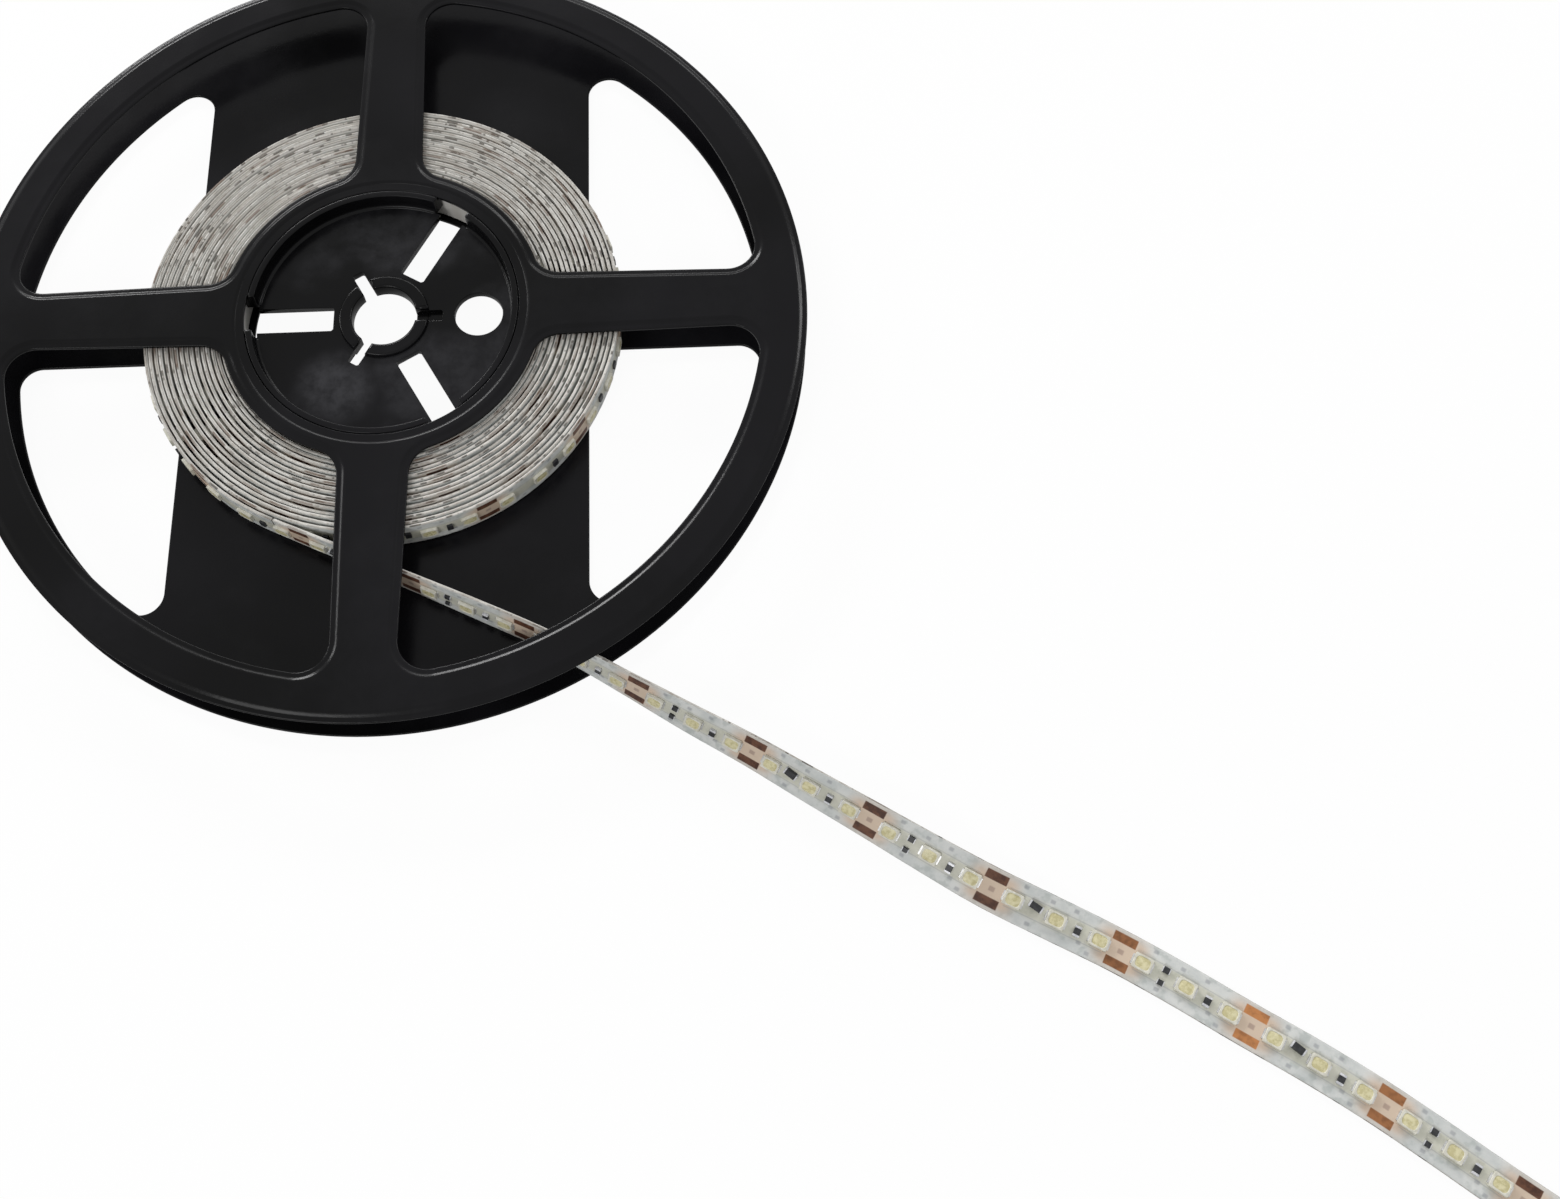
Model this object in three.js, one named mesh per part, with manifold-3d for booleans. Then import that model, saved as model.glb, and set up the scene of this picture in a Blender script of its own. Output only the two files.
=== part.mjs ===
// Plastic reel of LED strip light, lying flat: two spoked flanges snapped onto a hub core, the
// strip wound on the hub as a spiral, and a tail of strip that leaves the winding, passes over
// the rear flange's rim and lies on the table. Millimetres, +Z up along the reel's axis, origin
// on the axis at the rear flange's resting face.
import * as THREE from "three";
import { mergeVertices } from "three/addons/utils/BufferGeometryUtils.js";
import Module from "manifold-3d";

const wasm = await Module();
wasm.setup();

// Strip: a flexible board with LED packages and chip resistors on its outer face.
const stripWidth = 8;
const stripThickness = 0.4;
const stripLength = 5000;
const cutPitch = 25;
const ledsPerCut = 3;
const ledLength = 3.5;
const ledWidth = 2.8;
const ledHeight = 0.6;
const resistorLength = 2;
const resistorWidth = 1.25;
const resistorHeight = 0.5;
const resistorOffset = -0.25;
const driverLength = 2.7;
const driverWidth = 1.3;
const driverHeight = 0.8;
const driverOffset = 0.6;
const driverTurn = -10;
const solderGap = 0.15;

// Reel: the flanges' gap takes the strip on edge.
const flangeRadius = 89;
const flangeThickness = 1.3;
const flangeEdge = 0.35;
const stripSideClearance = 0.3;
const rimWidth = 9.2;
const openingRadius = 29;
const hubRingWidth = 5;
const spokeWidthAtHub = 14.8;
const spokeWidthAtRim = 13;
const windowCorner = 6;
const rearRimWidth = 9.2;
const rearBandWidth = 86;
const rearSpokeWidth = 13;
const rearWindowCorner = 4.5;

// Hub core: a drum with a web at half its height, a boss with keyed bore, slots and a drive hole.
const drumRadius = 30;
const drumWall = 2.5;
const snapClearance = 0.3;
const seatClearance = 0.1;
const neckRecess = 0.2;
const neckEdge = 0.3;
const webThickness = 1.8;
const webLift = 0.5;
const webFillet = 0.8;
const boreRadius = 6.8;
const bossWall = 2.8;
const bossHeight = 5.8;
const keyWidth = 2.5;
const keyReach = 12.4;
const keyCount = 3;
const blindKeyFloor = 0.6;
const slotWidth = 5.6;
const slotStart = 10.8;
const slotCount = 3;
const driveHoleRadius = 5.1;
const driveHolePlace = 20.1;

// Winding: the strip lies on edge round the drum, one thickness with its LEDs for each turn.
const windingClearance = 0.3;
const windingPitch = 1.08;
const windingEndAngle = -113.3;
const windingStepsPerTurn = 30;

// Tail: points of the middle of the strip's back face, with the lean of its LED face in degrees,
// from 0 where the strip stands on edge to 90 where it lies flat. It ends at a cut line.
const tailLength = 280.5;
const tailSteps = 80;
const tailRoute = [
  [-19.66, -46.42, 5.6, 0],
  [-6, -52.6, 5.6, 2],
  [8, -59, 5.6, 6],
  [22, -65.5, 5.55, 10],
  [36, -72.3, 5.45, 12],
  [50, -80.5, 5.1, 18],
  [62, -87.5, 4.2, 27],
  [73.9, -94.3, 3.6, 34],
  [84.5, -100.9, 3.25, 40],
  [95, -107.4, 2.95, 46],
  [105.6, -114, 2.45, 55],
  [116.2, -120.3, 1.65, 68],
  [127.2, -126, 0.85, 80],
  [138.1, -131.7, 0.15, 90],
  [148.6, -138, 0.15, 90],
  [158.9, -144.6, 0.15, 90],
  [169.2, -151, 0.15, 90],
  [179.2, -157.7, 0.15, 90],
  [188.5, -164.6, 0.15, 90],
  [198, -171.9, 0.15, 90],
  [208.4, -179.6, 0.15, 90],
  [220.9, -188.7, 0.15, 90],
];

const arcStep = THREE.MathUtils.degToRad(6);
const filletStep = THREE.MathUtils.degToRad(22);
const quarterTurn = Math.PI / 2;
const fullTurn = 2 * Math.PI;

// Sizes that follow from the ones above.
const flangeGap = stripWidth + 2 * stripSideClearance;
const reelHeight = flangeGap + 2 * flangeThickness;
const hubRingRadius = openingRadius + hubRingWidth;
const windowRadius = flangeRadius - rimWidth;
const rearWindowRadius = flangeRadius - rearRimWidth;
const drumInnerRadius = drumRadius - drumWall;
const neckRadius = openingRadius - snapClearance;
const bossRadius = boreRadius + bossWall;
const webMiddle = reelHeight / 2 + webLift;
const windingStartRadius = drumRadius + windingClearance;

const blackPlastic = new THREE.MeshStandardMaterial({ color: 0x17161a, roughness: 0.35, metalness: 0 });
const boardWhite = new THREE.MeshStandardMaterial({ color: 0xc9cdd3, roughness: 0.5, metalness: 0 });
const ledCream = new THREE.MeshStandardMaterial({ color: 0xe6dfb6, roughness: 0.4, metalness: 0 });
const chipBlack = new THREE.MeshStandardMaterial({ color: 0x1c1d20, roughness: 0.5, metalness: 0 });

// Points of an arc round (x, y), both ends included.
function arcPoints(x, y, radius, from, to, step) {
  const count = Math.max(2, Math.ceil(Math.abs(to - from) / step));
  return Array.from({ length: count + 1 }, (_, i) => {
    const angle = from + ((to - from) * i) / count;
    return new THREE.Vector2(x + radius * Math.cos(angle), y + radius * Math.sin(angle));
  });
}

// A straight edge of a window: it passes through point with direction along, and the window lies
// on the side of inside.
function straightEdge(from, to, inside) {
  const along = new THREE.Vector2().subVectors(to, from).normalize();
  const normal = new THREE.Vector2(-along.y, along.x);
  if (normal.dot(inside.clone().sub(from)) < 0) normal.negate();
  return { point: from, along, normal };
}

// Centre of a fillet that touches a straight edge and stands at a distance from the axis.
function filletOnCircle(edge, fillet, distance) {
  const start = edge.point.clone().addScaledVector(edge.normal, fillet);
  const half = start.dot(edge.along);
  const reach = -half + Math.sqrt(half * half - start.lengthSq() + distance * distance);
  return start.addScaledVector(edge.along, reach);
}

// Centre of a fillet between two straight edges.
function filletBetween(a, b, fillet) {
  const startA = a.point.clone().addScaledVector(a.normal, fillet);
  const startB = b.point.clone().addScaledVector(b.normal, fillet);
  const reach = startB.sub(startA).dot(b.normal) / a.along.dot(b.normal);
  return startA.addScaledVector(a.along, reach);
}

const angleOf = (vector) => Math.atan2(vector.y, vector.x);

// The short arc of a fillet from one touching direction to another.
function filletPoints(centre, fillet, fromDirection, toDirection) {
  const from = angleOf(fromDirection);
  let turn = angleOf(toDirection) - from;
  if (turn > Math.PI) turn -= fullTurn;
  if (turn < -Math.PI) turn += fullTurn;
  return arcPoints(centre.x, centre.y, fillet, from, from + turn, filletStep);
}

// A front window in the first quadrant: two spoke edges, the rim's arc and the hub ring's arc.
function frontWindow() {
  const halfHub = spokeWidthAtHub / 2;
  const halfRim = spokeWidthAtRim / 2;
  const inside = new THREE.Vector2(windowRadius, windowRadius);
  const lower = straightEdge(
    new THREE.Vector2(hubRingRadius, halfHub),
    new THREE.Vector2(windowRadius, halfRim),
    inside,
  );
  const upper = straightEdge(
    new THREE.Vector2(halfHub, hubRingRadius),
    new THREE.Vector2(halfRim, windowRadius),
    inside,
  );
  const outerLower = filletOnCircle(lower, windowCorner, windowRadius - windowCorner);
  const outerUpper = filletOnCircle(upper, windowCorner, windowRadius - windowCorner);
  const innerLower = filletOnCircle(lower, windowCorner, hubRingRadius + windowCorner);
  const innerUpper = filletOnCircle(upper, windowCorner, hubRingRadius + windowCorner);
  const awayLower = lower.normal.clone().negate();
  const awayUpper = upper.normal.clone().negate();
  return [
    ...filletPoints(outerLower, windowCorner, awayLower, outerLower),
    ...arcPoints(0, 0, windowRadius, angleOf(outerLower), angleOf(outerUpper), arcStep).slice(1, -1),
    ...filletPoints(outerUpper, windowCorner, outerUpper, awayUpper),
    ...filletPoints(innerUpper, windowCorner, awayUpper, innerUpper.clone().negate()),
    ...arcPoints(0, 0, hubRingRadius, angleOf(innerUpper), angleOf(innerLower), arcStep).slice(1, -1),
    ...filletPoints(innerLower, windowCorner, innerLower.clone().negate(), awayLower),
  ];
}

// A rear window in the first quadrant: the band's edge, the spoke's edge and the rim's arc.
function rearWindow() {
  const halfBand = rearBandWidth / 2;
  const halfSpoke = rearSpokeWidth / 2;
  const inside = new THREE.Vector2(rearWindowRadius, rearWindowRadius);
  const corner = new THREE.Vector2(halfBand, halfSpoke);
  const spoke = straightEdge(corner, new THREE.Vector2(rearWindowRadius, halfSpoke), inside);
  const band = straightEdge(corner, new THREE.Vector2(halfBand, rearWindowRadius), inside);
  const outerSpoke = filletOnCircle(spoke, rearWindowCorner, rearWindowRadius - rearWindowCorner);
  const outerBand = filletOnCircle(band, rearWindowCorner, rearWindowRadius - rearWindowCorner);
  const inner = filletBetween(spoke, band, rearWindowCorner);
  const awaySpoke = spoke.normal.clone().negate();
  const awayBand = band.normal.clone().negate();
  return [
    ...filletPoints(outerSpoke, rearWindowCorner, awaySpoke, outerSpoke),
    ...arcPoints(0, 0, rearWindowRadius, angleOf(outerSpoke), angleOf(outerBand), arcStep).slice(1, -1),
    ...filletPoints(outerBand, rearWindowCorner, outerBand, awayBand),
    ...filletPoints(inner, rearWindowCorner, awayBand, awaySpoke),
  ];
}

// The other windows are the first one turned or mirrored about the axes.
const turned = (points, angle) =>
  points.map((point) => point.clone().rotateAround(new THREE.Vector2(), angle));
const mirrored = (points) => points.map((point) => new THREE.Vector2(-point.x, point.y)).reverse();

// A flange is its disc with the windows and the hub opening, its edges broken all round.
function flangeGeometry(windows) {
  const disc = new THREE.Shape(arcPoints(0, 0, flangeRadius, 0, fullTurn, arcStep).slice(0, -1));
  const opening = arcPoints(0, 0, openingRadius, 0, fullTurn, arcStep).slice(0, -1);
  disc.holes = [opening, ...windows].map((points) => new THREE.Path(points));
  return new THREE.ExtrudeGeometry(disc, {
    depth: flangeThickness - 2 * flangeEdge,
    bevelEnabled: true,
    bevelThickness: flangeEdge,
    bevelSize: flangeEdge,
    bevelOffset: -flangeEdge,
    bevelSegments: 1,
  }).translate(0, 0, flangeEdge);
}

// Joining and cutting need a closed mesh whose vertices hold their position alone.
function solidOf(geometry) {
  const bare = geometry.index ? geometry.toNonIndexed() : geometry.clone();
  bare.deleteAttribute("normal");
  bare.deleteAttribute("uv");
  const merged = mergeVertices(bare, 1e-4);
  return new wasm.Manifold(
    new wasm.Mesh({
      numProp: 3,
      vertProperties: merged.attributes.position.array,
      triVerts: new Uint32Array(merged.index.array),
    }),
  );
}

function geometryOf(solid) {
  const mesh = solid.getMesh();
  return new THREE.BufferGeometry()
    .setAttribute("position", new THREE.BufferAttribute(mesh.vertProperties, 3))
    .setIndex(new THREE.BufferAttribute(mesh.triVerts, 1))
    .toNonIndexed();
}

// The core is turned from one section, then its slots, keys and drive hole are cut through it. The
// key beside the drive hole is blind: it stops at a thin floor.
function hubCoreGeometry() {
  const bottom = neckRecess;
  const top = reelHeight - neckRecess;
  const lowerSeat = flangeThickness + seatClearance;
  const upperSeat = reelHeight - flangeThickness - seatClearance;
  const webBottom = webMiddle - webThickness / 2;
  const webTop = webMiddle + webThickness / 2;
  const bossBottom = webMiddle - bossHeight / 2;
  const bossTop = webMiddle + bossHeight / 2;
  const section = [
    [boreRadius, bossBottom],
    [bossRadius, bossBottom],
    [bossRadius, webBottom],
    [drumInnerRadius - webFillet, webBottom],
    [drumInnerRadius, webBottom - webFillet],
    [drumInnerRadius, bottom + neckEdge],
    [drumInnerRadius + neckEdge, bottom],
    [neckRadius - neckEdge, bottom],
    [neckRadius, bottom + neckEdge],
    [neckRadius, lowerSeat],
    [drumRadius, lowerSeat],
    [drumRadius, upperSeat],
    [neckRadius, upperSeat],
    [neckRadius, top - neckEdge],
    [neckRadius - neckEdge, top],
    [drumInnerRadius + neckEdge, top],
    [drumInnerRadius, top - neckEdge],
    [drumInnerRadius, webTop + webFillet],
    [drumInnerRadius - webFillet, webTop],
    [bossRadius, webTop],
    [bossRadius, bossTop],
    [boreRadius, bossTop],
    [boreRadius, bossBottom],
  ].map(([radius, height]) => new THREE.Vector2(radius, height));
  const turnedCore = new THREE.LatheGeometry(section, Math.ceil(fullTurn / arcStep)).rotateX(quarterTurn);

  // A cutter reaches from one radius to another along a direction, over the core's whole height.
  const radialCutter = (from, to, width, angle) =>
    new THREE.BoxGeometry(to - from, width, 2 * reelHeight)
      .translate((from + to) / 2, 0, 0)
      .rotateZ(angle);
  const cutters = [
    new THREE.CylinderGeometry(driveHoleRadius, driveHoleRadius, 2 * reelHeight, 36)
      .rotateX(quarterTurn)
      .translate(driveHolePlace, 0, 0),
  ];
  const blindKeyBottom = webBottom + blindKeyFloor;
  cutters.push(radialCutter(0, keyReach, keyWidth, 0).translate(0, 0, reelHeight + blindKeyBottom));
  for (let i = 1; i < keyCount; i += 1) {
    cutters.push(radialCutter(0, keyReach, keyWidth, (i * fullTurn) / keyCount));
  }
  for (let i = 0; i < slotCount; i += 1) {
    const angle = ((i + 0.5) * fullTurn) / slotCount;
    cutters.push(radialCutter(slotStart, drumRadius + slotWidth, slotWidth, angle));
  }
  return geometryOf(cutters.reduce((core, cutter) => core.subtract(solidOf(cutter)), solidOf(turnedCore)));
}

// A ribbon through stations, each with the middle of its back face, its direction across and the
// direction that its LED face looks in.
function ribbonGeometry(stations) {
  const corners = stations.flatMap(({ middle, across, facing }) =>
    [
      [-1, 0],
      [1, 0],
      [1, 1],
      [-1, 1],
    ].map(([side, face]) =>
      middle
        .clone()
        .addScaledVector(across, (side * stripWidth) / 2)
        .addScaledVector(facing, face * stripThickness),
    ),
  );
  const last = corners.length - 4;
  const faces = [0, 2, 1, 0, 3, 2, last, last + 1, last + 2, last, last + 2, last + 3];
  for (let start = 0; start < last; start += 4) {
    for (let side = 0; side < 4; side += 1) {
      const a = start + side;
      const b = start + ((side + 1) % 4);
      faces.push(a, b, b + 4, a, b + 4, a + 4);
    }
  }
  const geometry = new THREE.BufferGeometry().setFromPoints(corners).setIndex(faces);
  geometry.computeVertexNormals();
  return geometry;
}

// Turns that a length of strip makes on a spiral that starts on the drum.
function windingTurns(length) {
  const start = windingStartRadius;
  return (-start + Math.sqrt(start * start + (windingPitch * length) / Math.PI)) / windingPitch;
}

function windingGeometry() {
  const turns = windingTurns(stripLength - tailLength);
  const count = Math.round(turns * windingStepsPerTurn);
  const startAngle = THREE.MathUtils.degToRad(windingEndAngle) - turns * fullTurn;
  const across = new THREE.Vector3(0, 0, 1);
  const stations = Array.from({ length: count + 1 }, (_, i) => {
    const turn = (turns * i) / count;
    const angle = startAngle + turn * fullTurn;
    const facing = new THREE.Vector3(Math.cos(angle), Math.sin(angle), 0);
    const middle = facing.clone().multiplyScalar(windingStartRadius + turn * windingPitch);
    middle.z = reelHeight / 2;
    return { middle, across, facing };
  });
  return ribbonGeometry(stations);
}

const tailCurve = new THREE.CatmullRomCurve3(
  tailRoute.map(([x, y, z]) => new THREE.Vector3(x, y, z)),
);

// The strip's place and directions at a distance along the tail.
function tailStation(distance) {
  const share = THREE.MathUtils.clamp(distance / tailCurve.getLength(), 0, 1);
  const place = tailCurve.getUtoTmapping(share) * (tailRoute.length - 1);
  const before = Math.min(Math.floor(place), tailRoute.length - 2);
  const lean = THREE.MathUtils.lerp(tailRoute[before][3], tailRoute[before + 1][3], place - before);
  const along = tailCurve.getTangentAt(share);
  const right = new THREE.Vector3(along.y, -along.x, 0).normalize();
  const up = new THREE.Vector3().crossVectors(right, along);
  const turn = THREE.MathUtils.degToRad(lean);
  return {
    middle: tailCurve.getPointAt(share),
    along,
    facing: right.clone().multiplyScalar(Math.cos(turn)).addScaledVector(up, Math.sin(turn)),
    across: up.clone().multiplyScalar(Math.cos(turn)).addScaledVector(right, -Math.sin(turn)),
  };
}

function tailGeometry() {
  const stations = Array.from({ length: tailSteps + 1 }, (_, i) =>
    tailStation((tailCurve.getLength() * i) / tailSteps),
  );
  return ribbonGeometry(stations);
}

// A part soldered on the tail: a block with its size along, across and out of the strip, moved
// from the strip's middle line by offset and turned on the board.
function tailPart(name, distance, length, width, height, material, offset = 0, turn = 0) {
  const { middle, along, across, facing } = tailStation(distance);
  const block = new THREE.Mesh(new THREE.BoxGeometry(length, width, height), material);
  block.name = name;
  block.position.y = offset;
  block.rotation.z = THREE.MathUtils.degToRad(turn);
  const seat = new THREE.Group();
  seat.applyMatrix4(new THREE.Matrix4().makeBasis(along, across, along.clone().cross(across)));
  seat.position.copy(middle).addScaledVector(facing, stripThickness + solderGap + height / 2);
  seat.add(block);
  return seat;
}

function named(name, geometry, material) {
  const mesh = new THREE.Mesh(geometry, material);
  mesh.name = name;
  return mesh;
}

const reel = new THREE.Group();

const rearWindows = [rearWindow(), mirrored(rearWindow())];
rearWindows.push(...rearWindows.map((points) => turned(points, Math.PI)));
reel.add(named("rear_flange", flangeGeometry(rearWindows), blackPlastic));

const frontWindows = [0, 1, 2, 3].map((quarter) => turned(frontWindow(), quarter * quarterTurn));
const frontFlange = named("front_flange", flangeGeometry(frontWindows), blackPlastic);
frontFlange.position.z = reelHeight - flangeThickness;
reel.add(frontFlange);

reel.add(named("hub_core", hubCoreGeometry(), blackPlastic));
reel.add(named("strip_winding", windingGeometry(), boardWhite));
reel.add(named("strip_tail", tailGeometry(), boardWhite));

// The tail ends on a cut line, and its segments are counted back from there.
const tailSegments = Math.floor(tailLength / cutPitch);
const ledPitch = cutPitch / ledsPerCut;
for (let segment = 0; segment < tailSegments; segment += 1) {
  const cutLine = tailLength - (tailSegments - segment) * cutPitch;
  for (let led = 0; led < ledsPerCut; led += 1) {
    const number = String(segment * ledsPerCut + led + 1).padStart(2, "0");
    const distance = cutLine + (led + 0.5) * ledPitch;
    reel.add(tailPart("led_" + number, distance, ledLength, ledWidth, ledHeight, ledCream));
  }
  const number = String(segment + 1).padStart(2, "0");
  reel.add(
    tailPart(
      "resistor_" + number,
      cutLine + (ledsPerCut - 1) * ledPitch,
      resistorWidth,
      resistorLength,
      resistorHeight,
      chipBlack,
      resistorOffset,
    ),
  );
  if (segment % 2 === 0) {
    reel.add(
      tailPart(
        "driver_" + number,
        cutLine + ledPitch,
        driverLength,
        driverWidth,
        driverHeight,
        chipBlack,
        driverOffset,
        driverTurn,
      ),
    );
  }
}

export default reel;
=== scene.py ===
import math

import bpy
import numpy as np
from mathutils import Matrix, Vector
from mathutils.geometry import tessellate_polygon


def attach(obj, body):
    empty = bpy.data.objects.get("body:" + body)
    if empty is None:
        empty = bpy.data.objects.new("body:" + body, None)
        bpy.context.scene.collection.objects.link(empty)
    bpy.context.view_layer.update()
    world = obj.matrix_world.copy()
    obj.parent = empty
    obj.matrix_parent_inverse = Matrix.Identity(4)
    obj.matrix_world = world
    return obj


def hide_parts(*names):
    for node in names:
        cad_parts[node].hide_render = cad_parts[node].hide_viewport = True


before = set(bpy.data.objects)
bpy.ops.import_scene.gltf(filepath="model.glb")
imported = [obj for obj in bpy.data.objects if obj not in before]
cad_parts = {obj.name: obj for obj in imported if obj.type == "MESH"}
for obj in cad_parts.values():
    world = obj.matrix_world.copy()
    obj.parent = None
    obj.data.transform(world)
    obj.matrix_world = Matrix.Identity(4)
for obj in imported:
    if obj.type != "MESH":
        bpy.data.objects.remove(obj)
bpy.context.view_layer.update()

# All sizes are in millimetres and become metres where a mesh is written.
MM = 0.001

# Camera: it looks down on the reel from the front, a little turned and rolled.
CAMERA_TARGET = (52.02, -25.1, 0)
CAMERA_DISTANCE = 371.33
CAMERA_ELEVATION = 64.97
CAMERA_AZIMUTH = 5.888
CAMERA_ROLL = -7.229
CAMERA_LENS = 41.236
CAMERA_SENSOR = 36
CAMERA_SHIFT = (0.09426, -0.10833)

# Strip, as in the part's source. The release paper behind the board, the liner, is a little narrower.
STRIP_WIDTH = 8
STRIP_THICKNESS = 0.4
LINER_THICKNESS = 0.26
LINER_STEP = 0.22
STRIP_LENGTH = 5000
CUT_PITCH = 25
LED_SIZE = (3.5, 2.8, 0.6)
LED_RIM = (0.7, 0.6)
RESISTOR_SIZE = (1.25, 2, 0.5)
RESISTOR_CAP = 0.42
RESISTOR_TURN = math.radians(90)
RESISTOR_ACROSS = -0.25
DRIVER_SIZE = (2.7, 1.3, 0.8)
DRIVER_CAP = 0.3
DRIVER_ACROSS = 0.6
DRIVER_SLANT = math.radians(-10)
SMALL_CHIP_HEIGHT = 0.45
# The two small chips that stand beside each other: size, place along and across, and cap.
TWIN_CHIPS = [((1.45, 1.15, 0.45), (0, 1.0), 0.16), ((1.3, 1.0, 0.45), (-0.1, -1.5), 0.15)]
SOLDER_GAP = 0.15
LEAD_HEIGHT = 0.1
TAIL_LENGTH = 280.5
TAIL_CUT_COUNT = 11
TAIL_STATIONS = 241
TAIL_SAMPLES = 1200
# The tail's route: x, y and height of the strip's middle, and how far its LED face leans up, in degrees.
TAIL_ROUTE = [
    (-19.66, -46.42, 5.6, 0),
    (-6, -52.6, 5.6, 2),
    (8, -59, 5.6, 6),
    (22, -65.5, 5.55, 10),
    (36, -72.3, 5.45, 12),
    (50, -80.5, 5.1, 18),
    (62, -87.5, 4.2, 27),
    (73.9, -94.3, 3.6, 34),
    (84.5, -100.9, 3.25, 40),
    (95, -107.4, 2.95, 46),
    (105.6, -114, 2.45, 55),
    (116.2, -120.3, 1.65, 68),
    (127.2, -126, 0.85, 80),
    (138.1, -131.7, 0.15, 90),
    (148.6, -138, 0.15, 90),
    (158.9, -144.6, 0.15, 90),
    (169.2, -151, 0.15, 90),
    (179.2, -157.7, 0.15, 90),
    (188.5, -164.6, 0.15, 90),
    (198, -171.9, 0.15, 90),
    (208.4, -179.6, 0.15, 90),
    (220.9, -188.7, 0.15, 90),
]

# Winding, as in the part's source.
WINDING_START = 30.3
WINDING_PITCH = 1.08
WINDING_END_ANGLE = math.radians(-113.3)
WINDING_STATIONS_PER_TURN = 100
WINDING_HEIGHT = 5.6
WINDING_FADE_TURNS = 0.15
# Slow waves of the turns, in and out and up and down: height, waves per radian, waves per turn and phase.
WANDER_WAVES = [(0.07, 1.31, 0.4, 0), (0.05, 3.17, 0, 1), (0.03, 7.43, 0, 0)]
LIFT_WAVES = [(0.1, 0.83, 0, 2), (0.07, 2.39, 0, 0), (0.03, 5.71, 0, 1)]

# Reel, as in the part's source.
REEL_HEIGHT = 11.2
FLANGE_RADIUS = 89
FLANGE_THICKNESS = 1.3

# Edges of the flanges, as points from the flat face to the wall: how far in from the wall, how far down.
# Along the windows and the rim the face steps down to a narrow border.
WINDOW_EDGE = [(2.0, 0), (1.8, 0.03), (1.6, 0.11), (1.4, 0.21), (1.2, 0.31), (1.0, 0.38), (0.8, 0.41),
               (0.3, 0.43), (0.1, 0.5), (0.02, 0.6), (0, 0.7)]
OUTER_EDGE = [(2.3, 0), (2.0, 0.04), (1.7, 0.15), (1.4, 0.3), (1.1, 0.47), (0.9, 0.56), (0.6, 0.6),
              (0.25, 0.64), (0.08, 0.72), (0, 0.85)]
HUB_EDGE = [(0.8, 0), (0.6, 0.03), (0.4, 0.11), (0.2, 0.21), (0.05, 0.28), (0, 0.34)]
SMALL_EDGE = [(0.25, 0), (0.15, 0.02), (0.07, 0.07), (0.02, 0.15), (0, 0.25)]
SHARP_EDGE = [(0, 0)]
RIM_WIDTH = 9.2
OPENING_RADIUS = 29
HUB_STEP_RADIUS = 30.7
HUB_STEP_DEPTH = 0.3
HUB_RING_RADIUS = 34
SPOKE_WIDTH_AT_HUB = 14.8
SPOKE_WIDTH_AT_RIM = 13
WINDOW_CORNER = 6
REAR_BAND_WIDTH = 86
REAR_SPOKE_WIDTH = 13
REAR_WINDOW_CORNER = 4.5
DRUM_RADIUS = 30
DRUM_INNER_RADIUS = 27.5
NECK_RADIUS = 28.88
NECK_RECESS = 0.2
SEAT_CLEARANCE = 0.1
WEB_MIDDLE = 6.1
WEB_THICKNESS = 1.8
WEB_FILLET = 0.8
BORE_RADIUS = 6.8
BOSS_RADIUS = 9.6
BOSS_HEIGHT = 3.8
KEY_WIDTH = 2.5
KEY_REACH = 12.4
BLIND_KEY_FLOOR = 0.6
SLOT_WIDTH = 5.6
WALL_SLOT_WIDTH = 7.8
LOWER_WALL_SLOT_WIDTH = 13
SLOT_START = 10.8
DRIVE_HOLE_RADIUS = 5.1
DRIVE_HOLE_PLACE = 20.1
THIRD_TURN = 2 * math.pi / 3

# Small roundings of the mouldings, and how far pieces of one moulding reach into each other.
STEP_OVERLAP = 0.2
WEB_EDGE = 0.15
WEB_RIM_OVERLAP = 0.3
WEB_BORE_OVERLAP = 0.4
SLOT_CORNER = 0.4
KEY_CORNER = 0.3
KEY_CLEARANCE = 0.05
KEY_FLOOR_EDGE = 0.05
KEY_FLOOR_OVERLAP = 0.2
BOSS_EDGE = 0.6
WALL_EDGE = 0.3
WALL_END_EDGE = 0.15

# Lamps, in metres: name, place, size and radiance. They face one point over the reel.
LAMP_TARGET = (0.03, -0.03, 0)
LAMPS = [
    ("key_lamp", (-0.42, 0.9, 0.42), (0.36, 0.12), 38.0),
    ("back_lamp", (0.15, 0.98, 0.42), (0.7, 0.14), 9.0),
    ("left_lamp", (-0.95, 0.42, 0.42), (0.4, 0.1), 20.0),
    ("right_lamp", (0.85, 0.42, 0.5), (0.4, 0.1), 16.0),
    ("front_softbox", (-0.5, -0.9, 0.85), (0.5, 0.4), 8.0),
]

# How finely arcs are cut.
ARC_STEP = math.radians(1.5)
BOSS_ARC_STEP = math.radians(4)
FILLET_STEP = math.radians(9)


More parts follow.
